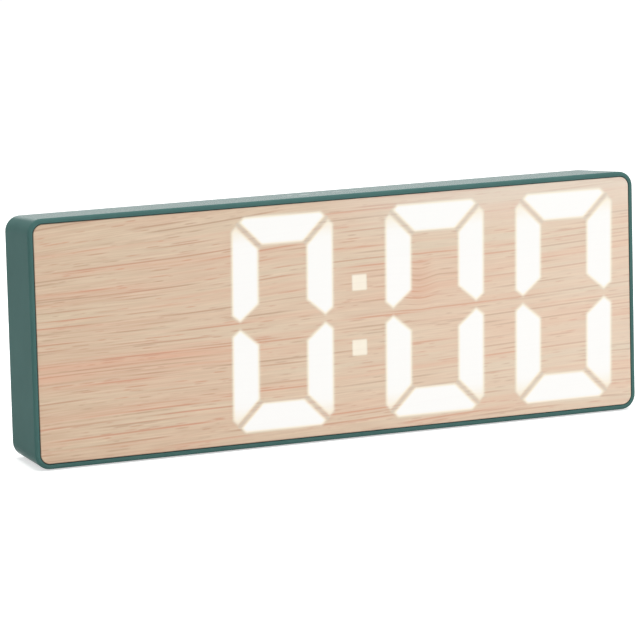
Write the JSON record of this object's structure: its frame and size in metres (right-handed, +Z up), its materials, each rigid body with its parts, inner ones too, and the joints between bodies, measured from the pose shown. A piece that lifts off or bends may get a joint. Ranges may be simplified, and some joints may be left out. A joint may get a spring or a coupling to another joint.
{
  "type": "digital desk clock",
  "caption": "Low tapered desk clock with a wood-grain front that large lit digits shine through, buttons and a power inlet on its back, and a sliding battery door.",
  "frame": {"origin": "under the middle of the clock, on the surface that its feet stand on", "axes": "+X to the right seen from the front, +Y from the front face to the back, +Z up"},
  "size_m": [0.1598, 0.021, 0.0602],
  "materials": {
    "case_plastic": "matte sage green with a fine moulded texture",
    "wood_grain": "printed light wood grain, satin",
    "panel_plastic": "plain black",
    "milky_plastic": "milky white, lets light through",
    "white_plastic": "opaque white",
    "board": "green solder mask",
    "diode": "white package with a pale yellow lens",
    "chip_black": "black epoxy",
    "dark_plastic": "black",
    "resistor": "black with bright ends",
    "can_metal": "bare can",
    "contact_metal": "nickel plate",
    "spring_brass": "bare",
    "screw_steel": "zinc plate",
    "cell_wrap": "plain grey sleeve",
    "button_plastic": "matte green, a little darker than the case",
    "foot_rubber": "matte black"
  },
  "bodies": {
    "case": {"case_shell": "case_plastic", "wood_film": "wood_grain", "front_panel": "panel_plastic", "diffuser": "milky_plastic", "reflector": "white_plastic", "main_board": "board", "segment_leds": "diode", "colon_leds": "diode", "board_screws": "screw_steel", "clock_chip": "chip_black", "led_driver": "chip_black", "crystal": "can_metal", "capacitors": "can_metal", "chip_resistors": "resistor", "buzzer": "dark_plastic", "switch_bodies": "dark_plastic", "usb_shell": "contact_metal", "usb_insert": "dark_plastic", "touch_plate": "spring_brass", "battery_cells": "cell_wrap", "left_foot": "foot_rubber", "right_foot": "foot_rubber", "contact_minus": "contact_metal", "contact_plus": "contact_metal", "contact_left": "contact_metal", "contact_right": "contact_metal"},
    "battery_door": {"battery_door": "case_plastic"},
    "set_button": {"set_button": "button_plastic", "set_plunger": "dark_plastic"},
    "up_button": {"up_button": "button_plastic", "up_plunger": "dark_plastic"},
    "down_button": {"down_button": "button_plastic", "down_plunger": "dark_plastic"}
  },
  "joints": [
    {"name": "battery_door_slide", "type": "slide", "parent": "case", "child": "battery_door", "axis": [1, 0, 0], "range_m": [0, 0.05]},
    {"name": "set_button_press", "type": "slide", "parent": "case", "child": "set_button", "axis": [0, -1, 0], "range_m": [0, 0.0003], "stiffness_N_per_m": 5000},
    {"name": "up_button_press", "type": "slide", "parent": "case", "child": "up_button", "axis": [0, -1, 0], "range_m": [0, 0.0003], "stiffness_N_per_m": 5000},
    {"name": "down_button_press", "type": "slide", "parent": "case", "child": "down_button", "axis": [0, -1, 0], "range_m": [0, 0.0003], "stiffness_N_per_m": 5000}
  ]
}
